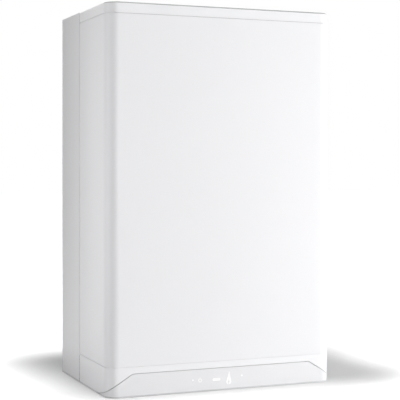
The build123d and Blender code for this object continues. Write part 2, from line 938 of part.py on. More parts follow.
def ignition_electrode():
    electrode = rod_y(electrode_radius, (electrode_front, drum_front + 5), electrode_x, electrode_z)
    electrode += rod_y(electrode_collar, (door_front - 3, door_front), electrode_x, electrode_z)
    return electrode + rod_y(electrode_wire, (drum_front + 4, electrode_tip), electrode_x, electrode_z)


def ignition_lead():
    """Lead from the electrode to the gas valve's igniter."""
    points = [(electrode_x, electrode_front, electrode_z), (electrode_x, electrode_front - 11, electrode_z),
              (10, -105, 335), (78, fan_y, 362), (108, fan_y, 362)]
    return tube(points, lead_radius, 0, lead_bend)


def premix_duct():
    """Flat duct that carries the mixture from the fan to the middle of the burner door."""
    fan_end = Vector((fan_left + fan_right) / 2, fan_outlet_z)
    door_end = Vector(drum_x, drum_z)
    along = fan_end - door_end
    middle = (fan_end + door_end) * 0.5
    front = door_front - premix_depth
    place = Plane.XZ.offset(-door_front) * Pos(middle.X, middle.Y) * Rot(0, 0, Vector(1, 0).get_angle(along))
    outer = extrude(place * SlotCenterToCenter(along.length, premix_width), premix_depth)
    outer = fillet(outer.faces().sort_by(Axis.Y)[0].edges(), premix_rounding)
    inner_width = premix_width - 2 * premix_wall
    hollow = extrude(place * SlotCenterToCenter(along.length, inner_width), premix_depth - premix_wall)
    hollow &= block((-200, 200), (front + premix_wall, door_front - premix_wall), (0, 600))
    mouth_y = (door_front - 4, door_front + 1)
    duct = outer - hollow
    fan_mouth = (fan_outlet_z - fan_outlet_half + fan_wall, fan_outlet_z + fan_outlet_half - fan_wall)
    duct -= block((fan_left + fan_wall, fan_right - fan_wall), mouth_y, fan_mouth)
    return duct - rod_y(door_port, mouth_y, drum_x, drum_z)


def fan_housing():
    """Round housing with a square outlet to the front, a shaft hole and an intake."""
    outlet_z = (fan_outlet_z - fan_outlet_half, fan_outlet_z + fan_outlet_half)
    bore_z = (outlet_z[0] + fan_wall, outlet_z[1] - fan_wall)
    inner_x = (fan_left + fan_wall, fan_right - fan_wall)
    housing = rod_x(fan_radius, (fan_left, fan_right), fan_y, fan_z)
    housing += block((fan_left, fan_right), (door_front, fan_y), outlet_z)
    housing -= rod_x(fan_radius - fan_rim, inner_x, fan_y, fan_z)
    housing -= block(inner_x, (door_front - 1, fan_y), bore_z)
    housing -= rod_x(fan_shaft_hole, (fan_left - 1, fan_left + 4), fan_y, fan_z)
    return housing - rod_x(fan_intake_radius, (fan_right - 4, fan_right + 1), fan_y, fan_z)


def fan_motor():
    """Motor can with a plug socket below it."""
    motor = rod_x(fan_motor_radius, (fan_motor_left, fan_left), fan_y, fan_z)
    motor += block((56, 72), (fan_y - 14, fan_y + 14), (fan_z - 40, fan_z - 20))
    return motor - rod_x(fan_shaft_radius + running_gap, (fan_motor_left + 4, fan_left + 1), fan_y, fan_z)


def fan_impeller():
    """Two discs with blades between them, on a hub and a shaft."""
    eye = rod_x(impeller_eye, (impeller_right - 3, impeller_right + 1), fan_y, fan_z)
    impeller = rod_x(impeller_radius, (impeller_left, impeller_left + impeller_disc), fan_y, fan_z)
    impeller += rod_x(impeller_radius, (impeller_right - impeller_disc, impeller_right), fan_y, fan_z) - eye
    impeller += rod_x(8, (impeller_left - 4, impeller_left + 12), fan_y, fan_z)
    impeller += rod_x(fan_shaft_radius, (fan_motor_left + 6, impeller_left + impeller_disc), fan_y, fan_z)
    blade_x = (impeller_left + impeller_right) / 2
    for angle in range(0, 360, blade_pitch):
        impeller += Pos(blade_x, fan_y, fan_z) * Rot(angle, 0, 0) * Pos(0, 0, blade_middle) * Box(*blade_size)
    return impeller


def venturi():
    """Tube that narrows to a throat between the air intake and the fan, with a gas port below."""
    middle = (fan_right + intake_left) / 2
    half = (intake_left - fan_right) / 2
    body = rod_x(venturi_radius, (fan_right, intake_left), fan_y, fan_z)
    body += rod_z(gas_port_radius, (gas_port_foot, gas_port_foot + 9), valve_x, fan_y)
    cone = Cone(throat_radius, venturi_mouth, half, align=(Align.CENTER, Align.CENTER, Align.MIN))
    for turn in (-90, 90):
        body -= Pos(middle, fan_y, fan_z) * Rot(0, turn, 0) * cone
    return body - rod_z(gas_port_bore, (gas_port_foot - 1, gas_port_foot + 16), valve_x, fan_y)


def air_intake_duct():
    """Upright duct, open at its top, with a mouth for the venturi and an arm to the mounting panel."""
    right = intake_left + intake_width
    wall = intake_wall
    front, rear = intake_y
    foot, head = intake_z
    duct = block((intake_left, right), intake_y, intake_z)
    duct -= block((intake_left + wall, right - wall), (front + wall, rear - wall), (foot + wall, head + 1))
    duct -= rod_x(venturi_mouth, (intake_left - 1, intake_left + wall + 1), fan_y, fan_z)
    return duct + block((intake_left + 4, right - 4), (rear, panel_y), intake_arm_z)


def gas_valve_body():
    """Cast valve with a neck up to the venturi, an igniter, a plunger cap and a fixing foot."""
    valve_sides = (valve_x - valve_half, valve_x + valve_half)
    body = block(valve_sides, (valve_front, valve_rear), (valve_bottom, valve_top))
    body += rod_z(valve_neck_radius, (valve_top, gas_port_foot), valve_x, fan_y)
    igniter = block((108, 130), (-40, 0), (valve_top, valve_top + 25))
    foot = block((150, 180), (valve_rear, panel_y), (300, 306))
    body += igniter + foot + rod_y(plunger_cap_radius, (plunger_cap_front, valve_front), plunger_x, plunger_z)
    bore_y = (plunger_cap_front + 4, valve_front + 12)
    body -= rod_y(plunger_radius + sliding_gap, bore_y, plunger_x, plunger_z)
    return body - rod_z(gas_port_bore, (valve_top - 20, gas_port_foot + 1), valve_x, fan_y)


def gas_valve_plunger():
    return rod_y(plunger_radius, (plunger_cap_front + 8, valve_front + 10), plunger_x, plunger_z)


def gas_pipe():
    """Pipe from the gas connection in the floor to the union under the gas valve."""
    bore = gas_pipe_radius - pipe_wall
    points = [(gas_x, connection_y, floor_z), (gas_x, connection_y, 50), (30, 15, 50), (30, 15, 258),
              (valve_x, fan_y, 258), (valve_x, fan_y, valve_bottom - 8)]
    stub = rod_z(thread_34, (stub_foot, thread_end), gas_x, connection_y)
    stub += rod_z(thread_34 - neck, (thread_end, floor_z + 4), gas_x, connection_y)
    stub -= rod_z(bore, (stub_foot - 1, floor_z + 5), gas_x, connection_y)
    union = rod_z(gas_union_radius, (valve_bottom - gas_union_height, valve_bottom), valve_x, fan_y)
    union -= rod_z(bore, (valve_bottom - gas_union_height - 1, valve_bottom + 1), valve_x, fan_y)
    return tube(points, gas_pipe_radius, pipe_wall, gas_pipe_bend) + stub + union


def pump_housing():
    """Volute with a foot on the return block, an outlet to the left and a neck for the air vent."""
    rear = pump_face + pump_depth
    foot_top = return_tower_top + 28
    volute = rod_y(pump_radius, (pump_face, rear), pump_x, pump_z)
    volute += block((pump_x - 22, pump_x + 22), (pump_face, rear), (return_tower_top, foot_top))
    volute += rod_x(pump_outlet_radius, (pump_outlet_x, 90), pump_y, pump_z)
    volute += rod_z(pipe_radius, (214, vent_foot), vent_x, pump_y)
    volute -= rod_y(pump_chamber, (pump_face - 1, 82), pump_x, pump_z)
    volute -= rod_x(pipe_radius - pipe_wall, (pump_outlet_x - 1, 90), pump_y, pump_z)
    volute -= rod_z(vent_bore, (200, vent_foot + 1), vent_x, pump_y)
    return volute - rod_z(pipe_radius, (return_tower_top - 1, foot_top), pump_x, pump_y)


def pump_motor():
    """Motor with a rounded front, a terminal box above and a chamber for the rotor."""
    motor = rod_y(pump_motor_radius, (pump_motor_front, pump_face), pump_x, pump_z)
    motor = fillet(motor.faces().sort_by(Axis.Y)[0].edges(), 5)
    motor += block((pump_x - 26, pump_x + 26), (-15, 25), (pump_z + 30, pump_z + 56))
    motor -= rod_y(pump_rotor_hole, (2, 45), pump_x, pump_z)
    return motor - rod_y(pump_shaft + running_gap, (44, pump_face + 1), pump_x, pump_z)


def pump_impeller():
    """Rotor, shaft, disc and six slanted vanes."""
    impeller = rod_y(pump_disc, (60, 63), pump_x, pump_z)
    impeller += rod_y(pump_shaft, (8, 72), pump_x, pump_z)
    impeller += rod_y(pump_rotor, (8, 42), pump_x, pump_z)
    vane = Pos(vane_middle, 0, 0) * Rot(0, vane_turn, 0) * Box(*vane_size)
    for angle in range(0, 360, 60):
        impeller += Pos(pump_x, 63 + vane_size[1] / 2, pump_z) * Rot(0, angle, 0) * vane
    return impeller


def air_vent_body():
    """Chamber for the float, with a small cap on top."""
    body = rod_z(vent_radius, (vent_foot, vent_top), vent_x, pump_y)
    body += rod_z(vent_cap_radius, (vent_top, vent_cap_top), vent_x, pump_y)
    body -= rod_z(vent_radius - vent_wall, (vent_foot + 4, vent_top - 4), vent_x, pump_y)
    return body - rod_z(vent_bore, (vent_foot - 1, vent_foot + 5), vent_x, pump_y)


def air_vent_float():
    return rod_z(float_radius, float_z, vent_x, pump_y)


def hydraulic_block(side, tower_top, large_x, small_x):
    """Cast water block: a low base, a tower beside the plate heat exchanger and two threaded stubs."""
    base = block((side * block_near, side * block_far), block_y, (block_bottom, block_deck))
    base += block((side * tower_near, side * block_far), block_y, (block_deck - 1, tower_top))
    for x, radius in ((large_x, thread_34), (small_x, thread_12)):
        base += rod_z(radius, (stub_foot, thread_end), x, connection_y)
        base += rod_z(radius - neck, (thread_end, block_bottom + 1), x, connection_y)
        base -= rod_z(radius - stub_wall, (stub_foot - 1, block_bottom + 20), x, connection_y)
    return base


def flow_block():
    casting = hydraulic_block(-1, flow_tower_top, flow_x, hot_x)
    casting -= rod_y(diverter_bore, diverter_bore_y, diverter_x, diverter_z)
    casting -= rod_z(pipe_radius - pipe_wall, (diverter_z, flow_tower_top + 1), diverter_x, connection_y)
    spindle_y = (block_y[0] - 1, diverter_bore_y[0] + 1)
    return casting - rod_y(spindle_radius + running_gap, spindle_y, diverter_x, diverter_z)


def diverter_motor():
    half = diverter_motor_half
    rear = block_y[0]
    motor = block((diverter_x - half, diverter_x + half), (diverter_motor_front, rear),
                  (diverter_z - half, diverter_z + half))
    motor -= rod_y(8, (14, 46), diverter_x, diverter_z)
    return motor - rod_y(spindle_radius + 1, (45, rear + 1), diverter_x, diverter_z)


def diverter_spindle():
    """Spindle with the motor's nut at its front and the valve disc at its rear."""
    spindle = rod_y(spindle_radius, (18, 84), diverter_x, diverter_z)
    spindle += rod_y(6.5, (18, 26), diverter_x, diverter_z)
    return spindle + rod_y(diverter_disc, (78, 82), diverter_x, diverter_z)


def return_block():
    """Water block with bearings for the relief knob, the filling tap and the flow turbine."""
    bearing = spindle_radius + running_gap
    low, high = turbine_chamber_z
    casting = hydraulic_block(1, return_tower_top, return_x, cold_x)
    casting += rod_y(relief_neck_radius, (36, block_y[0] + 1), knob_x, knob_z)
    casting -= rod_y(bearing, (35, 60), knob_x, knob_z)
    casting -= rod_z(bearing, (block_bottom - 1, 60), tap_x, connection_y)
    casting -= rod_z(turbine_chamber, turbine_chamber_z, cold_x, connection_y)
    casting += rod_z(turbine_axle, (low - 1, high + 2), cold_x, connection_y)
    casting += block((cold_x - 7, cold_x + 7), (connection_y - 1, connection_y + 1), (low - 2, low - 0.4))
    casting -= rod_y(hose_radius - hose_wall, (block_y[0] - 1, 60), hose_port_x, hose_port_z)
    return casting - rod_z(pipe_radius, (110, return_tower_top + 1), pump_x, pump_y)


def flow_turbine():
    """Small turbine on the axle in the cold water stub."""
    low, high = turbine_chamber_z
    turbine = rod_z(turbine_hub, (low + 1, high - 1), cold_x, connection_y)
    for angle in range(0, 180, 60):
        turbine += Pos(cold_x, connection_y, (low + high) / 2) * Rot(0, 0, angle) * Box(*turbine_blade)
    return turbine - rod_z(turbine_axle + running_gap, turbine_chamber_z, cold_x, connection_y)


def knob_disc(radius, thickness, flutes):
    """Round knob with flutes round its edge, standing on the ground plane."""
    knob = drum(radius, thickness)
    flute = Pos(radius + 1, 0, thickness / 2) * Cylinder(flute_radius, thickness + 2)
    for number in range(flutes):
        knob -= Rot(0, 0, 360 / flutes * number) * flute
    return knob


def relief_valve_knob():
    disc = knob_disc(knob_radius, knob_rear - knob_front, 12)
    knob = Pos(knob_x, knob_rear, knob_z) * Rot(90, 0, 0) * disc
    return knob + rod_y(spindle_radius, (knob_rear - 1, knob_rear + 22), knob_x, knob_z)


def fill_tap_knob():
    knob = Pos(tap_x, connection_y, tap_foot) * knob_disc(tap_radius, tap_top - tap_foot, 8)
    return knob + rod_z(spindle_radius, (tap_top - 1, 58), tap_x, connection_y)


def plate_heat_exchanger():
    """Brazed stack of plates lying on the two water blocks."""
    front, rear = plate_y
    core_half = plate_half - plate_edge
    pack = block((-core_half, core_half), (front + plate_edge, rear - plate_edge), (block_deck, plate_top))
    pitch = (plate_top - block_deck) / plates
    for plate in range(plates):
        z = block_deck + plate * pitch
        pack += block((-plate_half, plate_half), plate_y, (z, z + pitch * plate_share))
    return pack


def flow_pipe():
    points = [(flow_stub_x, drum_water_y, stub_bottom), (flow_stub_x, drum_water_y, 242),
              (flow_stub_x, connection_y, 205), (flow_stub_x, connection_y, flow_tower_top)]
    return tube(points, pipe_radius, pipe_wall)


def return_pipe():
    points = [(pump_outlet_x, pump_y, pump_z), (30, pump_y, pump_z), (return_stub_x, drum_water_y, 232),
              (return_stub_x, drum_water_y, stub_bottom)]
    return tube(points, pipe_radius, pipe_wall)


def condensate_trap():
    """Bottle trap with two bands, an inlet on top and the outlet stub below."""
    trap = rod_z(trap_radius, (trap_foot, trap_top), trap_x, trap_y)
    trap += rod_z(trap_collar_radius, (trap_top - 1, trap_collar_top), trap_x, trap_y)
    trap += rod_z(trap_outlet, (stub_foot, thread_end), trap_x, trap_y)
    trap += rod_z(trap_outlet - neck, (thread_end, trap_foot + 1), trap_x, trap_y)
    for z in trap_bands:
        trap += rod_z(trap_radius + 1, (z, z + 4), trap_x, trap_y)
    trap -= rod_z(trap_radius - trap_wall, (trap_foot + 4, trap_top - 4), trap_x, trap_y)
    trap -= rod_z(trap_outlet_bore, (stub_foot - 1, trap_foot + 5), trap_x, trap_y)
    return trap - rod_z(trap_bore, (trap_top - 5, trap_collar_top + 1), trap_x, trap_y)


def condensate_hose():
    points = [(drum_x, drain_y, stub_bottom), (drum_x, drain_y, 250), (trap_x, trap_y, 218),
              (trap_x, trap_y, trap_collar_top)]
    return tube(points, pipe_radius, condensate_wall)


nodes = [
    front_panel, top_band, bottom_band, cover_insulation, cover_screws,
    control_fascia, symbol_light_guide, display_board, control_box_base, control_box_lid,
    main_circuit_board, control_box_pins,
    chassis_back, chassis_left_side, chassis_right_side, top_plate, bottom_plate, cable_gland,
    mounting_panel, flue_seal, flue_collar, flue_duct,
    expansion_vessel_front, expansion_vessel_rear, vessel_diaphragm, vessel_hose,
    heat_exchanger_shell, heat_exchanger_coil, burner_tube, burner_door, burner_door_nuts,
    door_insulation, ignition_electrode, ignition_lead, premix_duct,
    fan_housing, fan_motor, fan_impeller, venturi, air_intake_duct,
    gas_valve_body, gas_valve_plunger, gas_pipe,
    pump_housing, pump_motor, pump_impeller, air_vent_body, air_vent_float,
    flow_block, return_block, plate_heat_exchanger, diverter_motor, diverter_spindle,
    relief_valve_knob, fill_tap_knob, flow_turbine, flow_pipe, return_pipe,
    condensate_trap, condensate_hose,
]

for make in nodes:
    shape = make()
    if isinstance(shape, list):
        shape = Compound(children=[piece.solid() for piece in shape])
    export_step(shape, f"parts/{make.__name__}.step")
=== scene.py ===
import json
import math

import bmesh
import bpy
from mathutils import Matrix, Vector


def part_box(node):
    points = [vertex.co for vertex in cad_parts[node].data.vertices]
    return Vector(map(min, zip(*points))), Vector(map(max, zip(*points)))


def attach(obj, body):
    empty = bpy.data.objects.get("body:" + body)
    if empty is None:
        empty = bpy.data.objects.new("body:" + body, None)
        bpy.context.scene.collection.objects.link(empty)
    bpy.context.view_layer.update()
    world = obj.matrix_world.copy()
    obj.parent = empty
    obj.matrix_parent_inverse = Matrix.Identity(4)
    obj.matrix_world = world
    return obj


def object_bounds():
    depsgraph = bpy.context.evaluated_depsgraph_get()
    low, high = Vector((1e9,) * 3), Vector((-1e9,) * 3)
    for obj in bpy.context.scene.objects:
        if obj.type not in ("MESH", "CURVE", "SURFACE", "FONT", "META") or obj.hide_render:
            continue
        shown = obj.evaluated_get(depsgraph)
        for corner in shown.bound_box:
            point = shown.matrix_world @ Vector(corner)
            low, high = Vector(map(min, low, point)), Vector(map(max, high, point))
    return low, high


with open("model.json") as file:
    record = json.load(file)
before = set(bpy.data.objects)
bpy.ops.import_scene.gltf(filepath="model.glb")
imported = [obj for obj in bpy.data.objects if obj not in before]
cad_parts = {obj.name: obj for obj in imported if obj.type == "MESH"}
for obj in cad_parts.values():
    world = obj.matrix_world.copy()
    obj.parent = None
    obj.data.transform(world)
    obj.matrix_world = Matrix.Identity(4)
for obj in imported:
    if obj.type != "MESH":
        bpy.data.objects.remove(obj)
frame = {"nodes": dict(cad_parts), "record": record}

# The scene is in metres. Places read from the frame, and the small parts, are in millimetres.
cad_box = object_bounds()
mm = 0.001
front = (0, -1, 0)
rear = (0, 1, 0)
left = (-1, 0, 0)
right = (1, 0, 0)
up = (0, 0, 1)


def edges(node):
    """Lowest and highest corners of a CAD node, in millimetres."""
    return [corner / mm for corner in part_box(node)]


def middle_of(node):
    """Middle of a CAD node, in millimetres."""
    low, high = edges(node)
    return (low + high) / 2


# ---------------------------------------------------------------------------
# Camera: level, standing to the left of the front, with the photograph's lens
# ---------------------------------------------------------------------------
camera_place = (-749.0 * mm, -1868.2 * mm, 370.9 * mm)
camera_turn = math.radians(-22.17)
focal_pixels = 1149.1
image_pixels = 400.0
horizon_pixel = 164.6
sensor_width = 36.0

camera_data = bpy.data.cameras.new("camera")
camera_data.sensor_width = sensor_width
camera_data.lens = focal_pixels / image_pixels * sensor_width
camera_data.shift_y = (horizon_pixel - image_pixels / 2) / image_pixels
camera = bpy.data.objects.new("camera", camera_data)
camera.location = camera_place
camera.rotation_euler = (math.radians(90), 0, camera_turn)
bpy.context.scene.collection.objects.link(camera)
bpy.context.scene.camera = camera
bpy.context.scene.view_settings.view_transform = "Standard"


# ---------------------------------------------------------------------------
# Node trees
# ---------------------------------------------------------------------------
def socket(sockets, identifier):
    """A socket by its identifier, where several have the same name."""
    return next(s for s in sockets if s.identifier == identifier)


class Nodes:
    """A node tree, with short ways to build in it."""

    def __init__(self, tree):
        self.tree = tree

    def give(self, end, value):
        """Links an input to another node's output, or sets its value."""
        if isinstance(value, bpy.types.NodeSocket):
            self.tree.links.new(value, end)
        else:
            end.default_value = value

    def add(self, kind, inputs=(), **settings):
        """A new node. inputs pairs its inputs with what each is given."""
        node = self.tree.nodes.new(kind)
        for key, value in settings.items():
            setattr(node, key, value)
        for key, value in dict(inputs).items():
            self.give(node.inputs[key], value)
        return node

    def maths(self, operation, first, second):
        node = self.add("ShaderNodeMath", {0: first, 1: second}, operation=operation)
        return node.outputs["Value"]

    def seen_rays(self):
        """1 for the rays by which the camera, a mirror image or a clear piece shows the studio."""
        path = self.add("ShaderNodeLightPath").outputs
        direct = self.maths("MAXIMUM", path["Is Camera Ray"], path["Is Glossy Ray"])
        return self.maths("MAXIMUM", direct, path["Is Transmission Ray"])


class Finish(Nodes):
    """A material built on its Principled shader, patterned in object space."""

    def __init__(self, name):
        self.name = name
        self.material = bpy.data.materials.new(name)
        self.material.use_nodes = True
        super().__init__(self.material.node_tree)
        self.shader = self.tree.nodes["Principled BSDF"]
        self.place = self.add("ShaderNodeTexCoord").outputs["Object"]

    def set(self, **values):
        """Sets or links inputs of the shader."""
        for key, value in values.items():
            self.give(self.shader.inputs[key.replace("_", " ")], value)

    def noise(self, scale, detail=2.0, stretch=None):
        """Noise with so many features per metre."""
        place = self.place
        if stretch:
            place = self.add("ShaderNodeMapping", {"Vector": place, "Scale": stretch}).outputs["Vector"]
        node = self.add("ShaderNodeTexNoise", {"Vector": place, "Scale": scale, "Detail": detail})
        return node.outputs["Fac"]

    def slab(self, axis, reach, base=0.0, edge=0.3):
        """Mask that is 1 over a reach of an axis from a base, with soft edges, all in millimetres."""
        apart = self.add("ShaderNodeSeparateXYZ", {"Vector": self.place})
        low, high = (base + step for step in reach)
        masks = []
        for start, stop in ((low - edge, low), (high + edge, high)):
            inputs = {"Value": apart.outputs[axis], "From Min": start * mm, "From Max": stop * mm}
            masks.append(self.add("ShaderNodeMapRange", inputs).outputs["Result"])
        return self.maths("MULTIPLY", *masks)

    def mix(self, factor, first, second, blend="MIX"):
        """Two colours mixed, each a linear colour or the output of another node."""
        node = self.add("ShaderNodeMix", {"Factor": factor}, data_type="RGBA", blend_type=blend)
        for end, colour in (("A_Color", first), ("B_Color", second)):
            self.give(socket(node.inputs, end), (*colour, 1) if isinstance(colour, tuple) else colour)
        return socket(node.outputs, "Result_Color")

    def tint(self, value, dark, light):
        """Base colour between two tones."""
        self.set(Base_Color=self.mix(value, dark, light))

    def darken(self, mask, factor):
        """Base colour multiplied by a factor where the mask is 1."""
        before = self.shader.inputs["Base Color"].links[0].from_socket
        self.set(Base_Color=self.mix(mask, before, (factor, factor, factor), "MULTIPLY"))

    def rough(self, value, low, high):
        """Roughness between two levels, over the middle half of a noise."""
        inputs = {"Value": value, "From Min": 0.25, "From Max": 0.75, "To Min": low, "To Max": high}
        self.set(Roughness=self.add("ShaderNodeMapRange", inputs).outputs["Result"])

    def bump(self, value, height):
        """Relief of a height in millimetres, on top of any relief before it."""
        node = self.add("ShaderNodeBump", {"Height": value, "Distance": height * mm})
        before = self.shader.inputs["Normal"].links
        if before:
            self.give(node.inputs["Normal"], before[0].from_socket)
        self.set(Normal=node.outputs["Normal"])


# ---------------------------------------------------------------------------
# Materials
# ---------------------------------------------------------------------------
tint_scale = 14.0
gloss_scale = 60.0
gloss_drift = 0.08
coat_roughness = 0.12
brushing_scale = 45.0
spangle_scale = 110.0
# Painted shadow along the casing's foot: its reach in height, in millimetres, and how dark it is.
foot_shadow_reach = (-10.0, 2.6)
foot_shadow_level = 0.84

# Painted shade lines on the cover's bands: their reach from the edge that they follow, and how dark they
# are.
face_reach = (-7.5, 18.5)
face_edge = 4.0
tongue_reach = (0.9, 1.9)
tongue_edge = 0.2
rim_reach = (-2.1, -0.1)
rim_edge = 0.1
rim_painted_shade = 0.50
upper_seam_reach = (-7.6, 1.2)
upper_seam_painted_shade = 0.62
lower_seam_reach = (-1.4, 7.1)
lower_seam_painted_shade = 0.92

thread_pitch = 1.8
thread_reach = (3.8, 21.5)
thread_depth = 0.6


def tone(grey, blue=0.018):
    """A cool grey, given as it shows on screen from 0 to 1, as a linear colour."""
    linear = ((grey + 0.055) / 1.055) ** 2.4
    return (linear, linear, linear * (1 + blue))


def shades(colour, spread):
    """A darker and a lighter tone of a colour."""
    dark = tuple(level * (1 - spread) for level in colour)
    light = tuple(min(1.0, level * (1 + spread)) for level in colour)
    return dark, light


def coated(name, colour, roughness, grain, height, spread=0.006, coat=0.0):
    """Enamel or moulded plastic: even colour, fine surface grain."""
    finish = Finish(name)
    finish.tint(finish.noise(tint_scale, detail=3.0), *shades(colour, spread))
    finish.rough(finish.noise(gloss_scale), roughness * (1 - gloss_drift), roughness * (1 + gloss_drift))
    finish.bump(finish.noise(grain), height)
    finish.set(Coat_Weight=coat, Coat_Roughness=coat_roughness)
    return finish


def painted_foot_shadow(finish):
    """Painted shadow along the casing's foot."""
    finish.darken(finish.slab("Z", foot_shadow_reach), foot_shadow_level)
    return finish


def band_moulding():
    """Moulding of the cover's bands: a painted shade line along the top front edge, a painted shadow along
    the foot, and painted shade on the tongues in the seams.
    """
    finish = coated("white_moulding", tone(0.965), 0.38, 1500.0, 0.004, coat=0.1)
    low, high = edges("front_panel")
    top = edges("top_band")[1].z
    face = finish.slab("Y", face_reach, low.y, face_edge)
    tongue = finish.slab("Y", tongue_reach, low.y, tongue_edge)
    # Painted shade: a dark line along the top front edge, and darker tongues that deepen the shade in the
    # upper and lower seams.
    lines = ((face, finish.slab("Z", rim_reach, top, rim_edge), rim_painted_shade),
             (tongue, finish.slab("Z", upper_seam_reach, high.z), upper_seam_painted_shade),
             (tongue, finish.slab("Z", lower_seam_reach, low.z), lower_seam_painted_shade))
    for depth, band, shade in lines:
        finish.darken(finish.maths("MULTIPLY", depth, band), shade)
    return painted_foot_shadow(finish)


def metal(name, colour, roughness, grain, height, stretch=None, spread=0.06):
    """Bare metal with brushing, casting grain or drawing lines."""
    finish = Finish(name)
    finish.tint(finish.noise(brushing_scale, 4.0, stretch), *shades(colour, spread))
    finish.rough(finish.noise(grain, 3.0, stretch), roughness * 0.75, roughness * 1.3)
    finish.bump(finish.noise(grain, 3.0, stretch), height)
    finish.set(Metallic=1.0)
    return finish


def threaded(finish):
    """Thread of the connections under the floor. A wave texture repeats 20 / tau times a unit."""
    scale = math.tau / 20 / (thread_pitch * mm)
    inputs = {"Vector": finish.place, "Scale": scale}
    wave = finish.add("ShaderNodeTexWave", inputs, bands_direction="Z").outputs["Fac"]
    finish.bump(finish.maths("MULTIPLY", wave, finish.slab("Z", thread_reach)), thread_depth)
    return finish


def galvanised(name, colour):
    """Zinc-coated sheet with its spangle."""
    finish = Finish(name)
    cells = finish.add("ShaderNodeTexVoronoi", {"Vector": finish.place, "Scale": spangle_scale})
    grey = finish.add("ShaderNodeSeparateColor", {"Color": cells.outputs["Color"]})
    finish.tint(grey.outputs["Red"], *shades(colour, 0.08))
    finish.rough(grey.outputs["Green"], 0.54, 0.64)
    finish.bump(finish.noise(900.0), 0.02)
    finish.set(Metallic=0.85)
    return finish


def lit(name, colour, strength):
    """Milky light guide, glowing a little."""
    finish = Finish(name)
    finish.tint(finish.noise(400.0, 1.0), *shades(colour, 0.01))
    finish.set(Roughness=0.35, Emission_Color=(*colour, 1), Emission_Strength=strength)
    return finish


# Each has its colour, roughness, grain in features per metre and the grain's height in millimetres.
white = tone(0.955)
finishes = (
    coated("white_enamel", white, 0.42, 900.0, 0.006, coat=0.1),
    # The chassis enamel and the grey moulding carry the painted shadow along the foot.
    painted_foot_shadow(coated("chassis_enamel", white, 0.42, 900.0, 0.006, coat=0.1)),
    band_moulding(),
    painted_foot_shadow(coated("grey_moulding", tone(0.93), 0.3, 1800.0, 0.003, coat=0.2)),
    lit("light_guide", (1.0, 1.0, 1.0), 0.05),
    galvanised("galvanised", (0.44, 0.45, 0.46)),
    metal("screw_steel", (0.66, 0.66, 0.64), 0.30, 900.0, 0.01),
    coated("foam", (0.035, 0.035, 0.038), 0.95, 700.0, 0.3, spread=0.25),
    coated("box_plastic", (0.045, 0.048, 0.052), 0.55, 1600.0, 0.04, spread=0.08),
    coated("board", (0.012, 0.09, 0.035), 0.35, 500.0, 0.02, spread=0.15),
    metal("stainless", (0.68, 0.67, 0.65), 0.25, 500.0, 0.02, stretch=(1, 8, 1)),
    metal("cast_aluminium", (0.60, 0.60, 0.61), 0.50, 1100.0, 0.09),
    coated("red_paint", (0.42, 0.012, 0.01), 0.32, 700.0, 0.02, spread=0.05, coat=0.3),
    coated("black_rubber", (0.018, 0.018, 0.019), 0.72, 900.0, 0.03, spread=0.15),
    coated("ceramic_fibre", (0.78, 0.75, 0.68), 0.98, 420.0, 0.5, spread=0.06),
    coated("ceramic", (0.85, 0.83, 0.78), 0.25, 900.0, 0.01, spread=0.02, coat=0.5),
    coated("flue_plastic", (0.78, 0.78, 0.76), 0.45, 1400.0, 0.02, spread=0.02),
    coated("black_plastic", (0.022, 0.022, 0.024), 0.48, 1500.0, 0.04, spread=0.10),
    coated("red_plastic", (0.50, 0.012, 0.008), 0.35, 1500.0, 0.02, spread=0.05),
    coated("pump_paint", (0.03, 0.035, 0.04), 0.42, 700.0, 0.05, spread=0.10),
    threaded(metal("copper", (0.80, 0.40, 0.27), 0.30, 500.0, 0.002, spread=0.04)),
    threaded(metal("brass", (0.72, 0.52, 0.24), 0.38, 900.0, 0.03, spread=0.06)),
)
materials = {finish.name: finish.material for finish in finishes}

slot_of = {part["node"]: part["material_slot"] for part in frame["record"]["subparts"]}
for node, piece in frame["nodes"].items():
    for holder in piece.material_slots:
        holder.material = materials[slot_of[node]]


# ---------------------------------------------------------------------------
# Outlines: each gives a radius for an angle
# ---------------------------------------------------------------------------
def hexagon(across):
    """Hexagon, by its width across flats."""
    return lambda angle: across / 2 / math.cos(angle % math.radians(60) - math.radians(30))


def cross(arm, core, half_width=0.15):
    """Cross of four arms, each so wide in radians to both sides."""
    quarter = math.pi / 2
    return lambda angle: arm if abs((angle + quarter / 2) % quarter - quarter / 2) < half_width else core


def groove(half_length, half_width, least=0.01):
    """Straight driver slot."""
    def reach(angle):
        lengthwise = half_length / max(abs(math.cos(angle)), least)
        crosswise = half_width / max(abs(math.sin(angle)), least)
        return min(lengthwise, crosswise)
    return reach


def knurled(radius, depth, count):
    """Circle with a number of waves."""
    return lambda angle: radius + depth * math.cos(count * angle)


# ---------------------------------------------------------------------------
# Shapes for the small parts, built along Z
# ---------------------------------------------------------------------------
smooth_angle = math.radians(32)


def skinned(rings, closed=False):
    """Surface through rings of points. A ring of one point is a pole."""
    shape = bmesh.new()
    rows = [[shape.verts.new(point) for point in ring] for ring in rings]
    sides = max(len(row) for row in rows)
    following = rows[1:] + rows[:1] if closed else rows[1:]
    for lower, upper in zip(rows, following):
        for side in range(sides):
            corners = [lower[side % len(lower)], lower[(side + 1) % len(lower)],
                       upper[(side + 1) % len(upper)], upper[side % len(upper)]]
            shape.faces.new(dict.fromkeys(corners))
    return shape


def turned(profile, sides=48, closed=False):
    """Turned solid. A profile point is a radius or an outline, and a height."""
    rings = []
    for radius, height in profile:
        ring = []
        for side in range(sides if radius else 1):
            angle = math.tau * side / sides
            reach = radius(angle) if callable(radius) else radius
            ring.append((reach * math.cos(angle), reach * math.sin(angle), height))
        rings.append(ring)
    return skinned(rings, closed)


def boxed(low, high, bevel=0.5):
    """Box between two corners, with rounded edges."""
    shape = bmesh.new()
    bmesh.ops.create_cube(shape, size=1.0)
    low = Vector(low)
    high = Vector(high)
    shape.transform(Matrix.LocRotScale((low + high) / 2, None, high - low))
    bmesh.ops.bevel(shape, geom=shape.edges[:], offset=bevel, segments=2, profile=0.5, affect="EDGES")
    return shape


